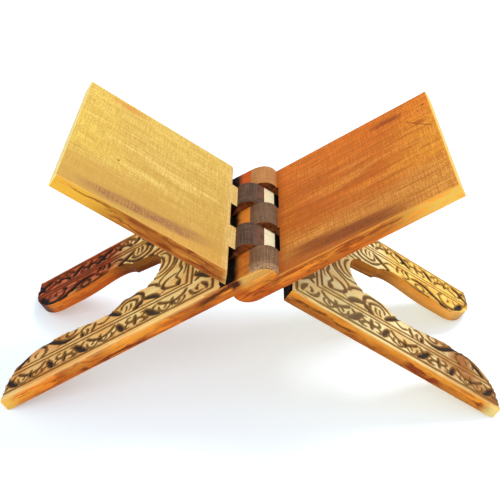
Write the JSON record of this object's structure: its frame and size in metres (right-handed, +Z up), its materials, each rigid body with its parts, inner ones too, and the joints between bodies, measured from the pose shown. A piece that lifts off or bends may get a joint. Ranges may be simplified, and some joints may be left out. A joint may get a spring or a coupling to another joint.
{
  "type": "quran stand",
  "caption": "Folding X-shaped wooden stand for an open book: interlocked boards hinge on knuckles sawn from the same plank, with plain rests above and carved, arched legs below.",
  "frame": {"origin": "on the surface that the feet stand on, straight below the middle of the hinge axis", "axes": "+Z up; +Y along the hinge axis, away from the side the stand is seen from; +X towards the book rest of the board that has three knuckles"},
  "size_m": [0.4724, 0.2, 0.2503],
  "materials": {
    "board_wood": "hand-varnished satin, scorched dark in the carving's ground and on the knuckles' rounds"
  },
  "bodies": {
    "three_knuckle_board": {"three_knuckle_board": "board_wood"},
    "two_knuckle_board": {"two_knuckle_board": "board_wood"}
  },
  "joints": [
    {"name": "fold", "type": "hinge", "parent": "three_knuckle_board", "child": "two_knuckle_board", "pos_m": [0, 0, 0.14526], "axis": [0, 1, 0], "range_deg": [0, 114.6]}
  ]
}
